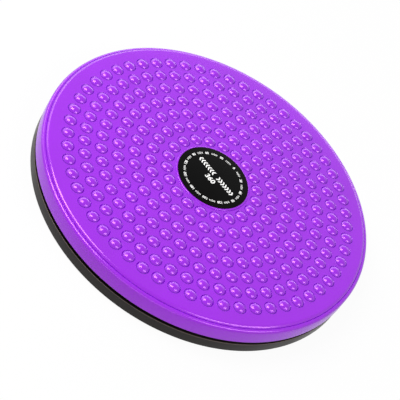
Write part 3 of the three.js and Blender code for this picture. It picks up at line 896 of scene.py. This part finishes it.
class DISC_OT_pivot_bolt(PieceOperator, Operator):
    """Hexagon bolt with a chamfered head and a rolled thread"""

    bl_idname = "twisting_disc.pivot_bolt"
    bl_label = "Pivot bolt"

    def execute(self, context):
        pivot = self.settings(context).pivot
        bottom, top = heights("pivot_bolt")
        flats, inside = pivot.hex_flats, pivot.head_face + 0.2 * MM
        upper = corner_cone(flats, 0.46 * flats, top, -1)
        rows = [(0, inside), (flats / math.sqrt(3), pivot.head_face), *upper[::-1], (0, top)]
        head = turned(rows, 72, flats=flats)

        # The thread is a groove of triangular section on a helix: at height z and angle a its depth follows
        # the fraction of z / pitch - a / 360 degrees. It runs out at its upper end, and the tip is chamfered
        run_out, tip, rows_a_turn = 2 * MM, 0.8 * MM, 8
        thread_end = bottom + pivot.thread_length
        angle = 2 * math.pi * np.arange(36)[:, None] / 36
        height = np.arange(bottom, thread_end, pivot.thread_pitch / rows_a_turn)
        height = np.append(height, pivot.head_face + 0.5 * MM)
        phase = np.mod(height / pivot.thread_pitch - angle / (2 * math.pi), 1)
        fading = np.clip((thread_end - height) / run_out, 0, 1)
        groove = pivot.thread_depth * (1 - np.abs(2 * phase - 1)) * fading
        radius = pivot.bolt_radius - groove + np.minimum(height - bottom, tip) - tip
        shank = np.stack([radius * np.cos(angle), radius * np.sin(angle), height + 0 * angle], -1)
        bolt = together(head, lofted(shank.transpose(1, 0, 2)[:, ::-1]))
        piece("pivot_bolt_steel", bolt, steel_zinc_plated, "base", "zinc_steel", "pivot_bolt")
        return {"FINISHED"}


def ring_outline(inner, outer, low, high, bends):
    """Outline of a plain ring, from its lower inner corner, with the rounding of its four corners in mm."""
    corners = ((inner, low), (outer, low), (outer, high), (inner, high))
    return rounded([(*corner, bend * MM) for corner, bend in zip(corners, bends)])


class DISC_OT_pivot_stack(PieceOperator, Operator):
    """Washers, flanged bush, lock nut and its nylon ring"""

    bl_idname = "twisting_disc.pivot_stack"
    bl_label = "Pivot stack"

    def execute(self, context):
        pivot = self.settings(context).pivot
        hole = pivot.hole_radius
        for name, body in (("head_washer", "top"), ("nut_washer", "base")):
            pressed = (0.1, 0.15, 0.45, 0.3)
            outline = ring_outline(hole, pivot.washer_radius, *heights(name), pressed)
            washer = turned(outline, 72, closed=True)
            piece(f"{name}_steel", washer, steel_zinc_plated, body, "zinc_steel", name)
        low, high = heights("pivot_bush")
        flange = low + 1.5 * MM
        bush = rounded([
            (hole, low, 0.3 * MM), (pivot.flange_radius, low, 0.3 * MM),
            (pivot.flange_radius, flange, 0.3 * MM), (pivot.bush_radius, flange, 0.2 * MM),
            (pivot.bush_radius, high, 0.3 * MM), (hole, high, 0.3 * MM),
        ])
        bush = turned(bush, 72, closed=True)
        piece("pivot_bush_moulding", bush, nylon_moulded_undyed, "top", "bush_nylon", "pivot_bush")

        # The nut: a thin collar under the hexagon, pressed in over the nylon ring's seat
        low, high = heights("lock_nut")
        ring_radius, ring_low, ring_top = HIGH["nut_insert"].x, *heights("nut_insert")
        collar_top, seat, seat_top = low + 1.8 * MM, ring_radius + 0.1 * MM, ring_top + PLAY
        flats, flat_end = pivot.hex_flats, 0.47 * pivot.hex_flats
        collar = rounded([
            (seat, low + 0.2 * MM, 0), (seat + 0.15 * MM, low, 0.05 * MM),
            (seat + 0.3 * MM, low, 0.1 * MM), (seat + 0.3 * MM, collar_top, 0.05 * MM),
            (flat_end, collar_top, 0),
        ])
        lower = corner_cone(flats, flat_end, collar_top, 1)
        upper = corner_cone(flats, flat_end, high, -1)
        bore = [
            (flat_end - 0.9 * MM, high), (hole + 0.25 * MM, high),
            (hole, high - 0.4 * MM), (hole, seat_top),
            (seat, seat_top), (seat, low + 0.2 * MM),
        ]
        nut = turned([*collar, *lower, *upper[::-1], *bore], 72, flats=flats)
        piece("lock_nut_steel", nut, steel_zinc_plated, "base", "zinc_steel", "lock_nut")
        ring = ring_outline(hole, ring_radius, ring_low, ring_top, (0.2, 0.15, 0.1, 0.1))
        ring = turned(ring, 48, closed=True)
        piece("nut_insert_moulding", ring, nylon_moulded_blue, "base", "insert_nylon", "nut_insert")
        return {"FINISHED"}


class DISC_OT_centre_cap(PieceOperator, Operator):
    """Cap over the bolt's socket, pressed in by its collar"""

    bl_idname = "twisting_disc.centre_cap"
    bl_label = "Centre cap"

    def execute(self, context):
        pivot = self.settings(context).pivot
        low, high = heights("centre_cap")
        collar, rim = pivot.socket_radius - PLAY, pivot.cap_seat - PLAY
        bore, plate = collar - 1.5 * MM, high - 1.6 * MM
        outline = rounded([
            (0, plate, 0), (bore, plate, 0.3 * MM),
            (bore, low, 0.3 * MM), (collar, low, 0.5 * MM),
            (collar, plate, 0.2 * MM), (rim, plate, 0.2 * MM),
            (rim, high, 0.2 * MM), (0, high, 0),
        ])
        cap = turned(outline, 96)
        piece("centre_cap_moulding", cap, polypropylene_matt_moulded, "top", "cap_plastic", "centre_cap")
        return {"FINISHED"}


def written(text, height, weight):
    """Text in Blender's own face as a closed shape, one high, about its own middle, bolder by a weight."""
    curve = bpy.data.curves.new("digits", "FONT")
    digit_share = 0.69
    curve.body, curve.size, curve.offset = text, height / digit_share, weight
    curve.extrude, curve.resolution_u = 0.5, 3
    curve.align_x, curve.align_y = "CENTER", "CENTER"
    holder = added("digits", curve)
    bpy.context.view_layer.update()
    mesh = holder.evaluated_get(bpy.context.evaluated_depsgraph_get()).to_mesh()
    points = np.empty(len(mesh.vertices) * 3)
    mesh.vertices.foreach_get("co", points)
    points = points.reshape(-1, 3)
    mesh.calc_loop_triangles()
    corners = np.empty(len(mesh.loop_triangles) * 3, np.int32)
    mesh.loop_triangles.foreach_get("vertices", corners)
    faces = corners.reshape(-1, 3)
    faces = np.concatenate([faces, faces[:, 2:]], 1)
    bpy.data.objects.remove(holder)
    bpy.data.curves.remove(curve)
    middle = (points.max(0) + points.min(0)) / 2
    return points - (*middle[:2], 0), faces


def bar(width, length):
    """A flat bar of ink, its height one."""
    corners = np.array([[-0.5, -0.5], [-0.5, 0.5], [0.5, 0.5], [0.5, -0.5]]) * (width, length)
    return lofted(np.array([[(x, y, z) for x, y in corners] for z in (-0.5, 0.5)]))


def chevron(height, stroke, side):
    """Two leaning bars that meet at a point on the side that it shows, its height one.

    Its middle line is x = side x reach x (1 - |s|), y = s x height / 2, with s from -1 to 1.
    """
    share = np.linspace(-1, 1, 3)
    reach = 0.32 * height
    tip = side * (1 - np.abs(share)) * reach - side * reach / 2
    section = np.array([[-0.5, -0.5], [0.5, -0.5], [0.5, 0.5], [-0.5, 0.5]])
    sections = np.stack([
        tip[:, None] + section[:, 0] * stroke,
        share[:, None] * height / 2 + 0 * section[:, 0],
        section[:, 1] + 0 * share[:, None],
    ], -1)
    points, faces = lofted(sections)
    return points, faces[:, ::-1]


class DISC_OT_dial(PieceOperator, Operator):
    """Round label film on the boss, with a plain printed scale and turning marks"""

    bl_idname = "twisting_disc.dial"
    bl_label = "Dial label"

    def execute(self, context):
        dial = self.settings(context).dial
        low, high = heights("dial_label")
        film = ring_outline(0, dial.label_radius, low, high, (0, 0.05, 0.12, 0))
        piece("dial_film", turned(film, 120), vinyl_film_laminated, "top", "label_film", "dial_label")

        # Twelve numbers, 30 degrees apart and the same both ways, with five ticks after each
        numbers, marks, apart = 12, 7, 2.5
        number_weight, tick_width, short = 0.09 * MM, 0.4 * MM, 0.75
        shapes = []
        for index in range(numbers):
            turn = dial.reading - 2 * math.pi * index / numbers
            degrees = 360 // numbers * min(index, numbers - index)
            digits = written(str(degrees), dial.digit_height, number_weight)
            shapes.append(placed(digits, y=dial.scale_radius, turn=turn))
            for step in range(-2, 3):
                tick = bar(tick_width, dial.digit_height if step == 0 else short * dial.digit_height)
                halfway = math.radians(180 / numbers + apart * step)
                shapes.append(placed(tick, y=dial.scale_radius, turn=turn - halfway))
        for side in (-1, 1):
            mark = chevron(dial.chevron_height, dial.chevron_stroke, side)
            for index in range(marks):
                across = side * (dial.chevron_gap + (index + 0.5) * dial.chevron_pitch)
                shapes.append(placed(mark, x=across, y=dial.row_offset, turn=dial.reading))
        full_turn = written("360", dial.chevron_height, 0.16 * MM)
        shapes.append(placed(full_turn, y=-dial.row_offset, turn=dial.reading))

        # The ink stands on the film, and a fifth of its thickness goes into it
        points, faces = together(*shapes)
        points[:, 2] = high + np.where(points[:, 2] > 0, dial.ink, -0.2 * dial.ink)
        piece("dial_print", (points, faces), screen_ink_white, "top", "label_film")
        return {"FINISHED"}


# Stage

# Name, bearing from +X and height over the horizon in degrees, distance, width and height in metres,
# brightness, where white paper has 1, and turn about the lamp's own middle in degrees
LAMPS = (
    ("key", 176, 57, 1.0, 0.38, 0.68, 9.8, -20),
    ("side", -30, 46, 1.5, 1.0, 0.34, 7.8, -36),
    ("left", 140, 23, 1.5, 0.95, 0.42, 3.1, 15),
    ("back", 90, 16, 1.5, 1.9, 0.34, 2.6, 0),
    ("front", -100, 12, 1.5, 1.6, 0.50, 1.5, 0),
)


def aimed(name, data, aim, bearing, rise, distance, turn):
    """A lamp or camera that faces its aim and is turned about its own line of sight, all angles in radians.

    It stands at aim + distance x (cos b cos r, sin b cos r, sin r), for the bearing b and the rise r.
    """
    away = Vector((math.cos(bearing) * math.cos(rise), math.sin(bearing) * math.cos(rise), math.sin(rise)))
    facing = away.to_track_quat("Z", "Y").to_matrix().to_4x4() @ Matrix.Rotation(turn, 4, "Z")
    made = added(name, data)
    made.matrix_world = Matrix.Translation(Vector(aim) + away * distance) @ facing
    return made


def lamp(name, bearing, rise, distance, width, height, brightness, turn):
    """A rectangular soft lamp that faces the disc. Its power is brightness x pi x its area."""
    data = bpy.data.lights.new(name, "AREA")
    data.shape, data.size, data.size_y = "RECTANGLE", width, height
    data.energy = brightness * math.pi * width * height
    bearing, rise, turn = (math.radians(angle) for angle in (bearing, rise, turn))
    return aimed(name, data, (0, 0, 20 * MM), bearing, rise, distance, turn)


class DISC_OT_stage(Operator):
    """Pale floor, soft lamps, white room and the camera"""

    bl_idname = "twisting_disc.stage"
    bl_label = "Stage"

    def execute(self, context):
        stage = context.scene.twisting_disc.stage
        self.floor(stage)
        self.room(context.scene, stage)
        for row in LAMPS:
            lamp(*row)
        self.camera(context.scene, stage)
        context.scene.view_settings.view_transform = "Standard"
        return {"FINISHED"}

    def seen(self, tree, camera, glossy):
        """One share where a camera or transmission ray looks, another where a glossy ray does."""
        path = node(tree, "ShaderNodeLightPath")
        direct = node(tree, "ShaderNodeMath", links={
            0: path.outputs["Is Camera Ray"], 1: path.outputs["Is Transmission Ray"],
        }, operation="MAXIMUM")
        scaled = node(tree, "ShaderNodeMath", {1: camera}, {0: direct.outputs["Value"]}, operation="MULTIPLY")
        both = node(tree, "ShaderNodeMath", {1: glossy}, {
            0: path.outputs["Is Glossy Ray"], 2: scaled.outputs["Value"],
        }, operation="MULTIPLY_ADD")
        return both.outputs["Value"]

    def floor(self, stage):
        """A round paper floor: its pale colour takes the shadow, and white is mixed in where it is seen."""
        radius, height = 12.0, -0.05 * MM
        mesh, _ = meshed("floor", turned([(radius, height), (0, height)], 96))
        paper = bpy.data.materials.new("paper_matt_pale")
        tree = empty_tree(paper)
        place = node(tree, "ShaderNodeTexCoord").outputs["Object"]
        fibre = node(tree, "ShaderNodeTexNoise", {"Scale": 1 / (2 * MM), "Detail": 2.0}, {"Vector": place})
        relief = {"Strength": 1.0, "Distance": 0.01 * MM}
        bump = node(tree, "ShaderNodeBump", relief, {"Height": fibre.outputs["Fac"]})
        matt = node(tree, "ShaderNodeBsdfDiffuse", {"Color": stage.floor}, {"Normal": bump.outputs["Normal"]})
        white = node(tree, "ShaderNodeEmission", {"Color": stage.background, "Strength": 1.0})
        share = self.seen(tree, stage.floor_seen, stage.floor_mirrored)
        mixed = node(tree, "ShaderNodeMixShader", links={
            0: share, 1: matt.outputs["BSDF"], 2: white.outputs["Emission"],
        })
        node(tree, "ShaderNodeOutputMaterial", links={"Surface": mixed.outputs["Shader"]})
        mesh.materials.append(paper)
        added("floor", mesh)

    def room(self, scene, stage):
        """A white room that lights the disc at its own strength and is seen at a strength of one."""
        world = bpy.data.worlds.new("white_room")
        tree = empty_tree(world)
        strength = node(
            tree, "ShaderNodeMapRange", {"To Min": stage.room_light, "To Max": 1.0},
            {"Value": self.seen(tree, 1.0, 1.0)},
        ).outputs["Result"]
        back = node(tree, "ShaderNodeBackground", {"Color": stage.background}, {"Strength": strength})
        node(tree, "ShaderNodeOutputWorld", links={"Surface": back.outputs["Background"]})
        scene.world = world

    def camera(self, scene, stage):
        """The camera, at the photograph's viewing angle."""
        data = bpy.data.cameras.new("camera")
        data.lens, data.sensor_width = stage.lens, 36.0
        data.clip_start, data.clip_end = 0.05, 50.0
        scene.camera = aimed(
            "camera", data, stage.camera_aim, stage.camera_azimuth, stage.camera_elevation,
            stage.camera_distance, stage.camera_roll,
        )


class DISC_PT_panel(Panel):
    """Lists the disc's pieces and its sizes"""

    bl_idname = "DISC_PT_panel"
    bl_label = "Waist twisting disc"
    bl_space_type = "VIEW_3D"
    bl_region_type = "UI"
    bl_category = "Twisting disc"

    def draw(self, context):
        settings = context.scene.twisting_disc
        for operator in OPERATORS:
            self.layout.operator(operator.bl_idname)
        for group in ("top", "base", "bearing", "pivot", "dial", "colours", "stage"):
            box = self.layout.box()
            box.label(text=group.capitalize())
            values = getattr(settings, group)
            for name in values.__annotations__:
                box.prop(values, name)


OPERATORS = (
    DISC_OT_top_moulding,
    DISC_OT_base_moulding,
    DISC_OT_foot_pads,
    DISC_OT_ball_bearing,
    DISC_OT_pivot_bolt,
    DISC_OT_pivot_stack,
    DISC_OT_centre_cap,
    DISC_OT_dial,
    DISC_OT_stage,
)
CLASSES = (
    TopSizes, BaseSizes, BearingSizes, PivotSizes, DialSizes, Colours, StageSettings, DiscSettings,
    *OPERATORS, DISC_PT_panel,
)


def register():
    for made in CLASSES:
        register_class(made)
    bpy.types.Scene.twisting_disc = PointerProperty(type=DiscSettings)


def unregister():
    del bpy.types.Scene.twisting_disc
    for made in reversed(CLASSES):
        unregister_class(made)


def main():
    register()
    for operator in OPERATORS:
        group, name = operator.bl_idname.split(".")
        getattr(getattr(bpy.ops, group), name)()


if __name__ == "__main__":
    main()
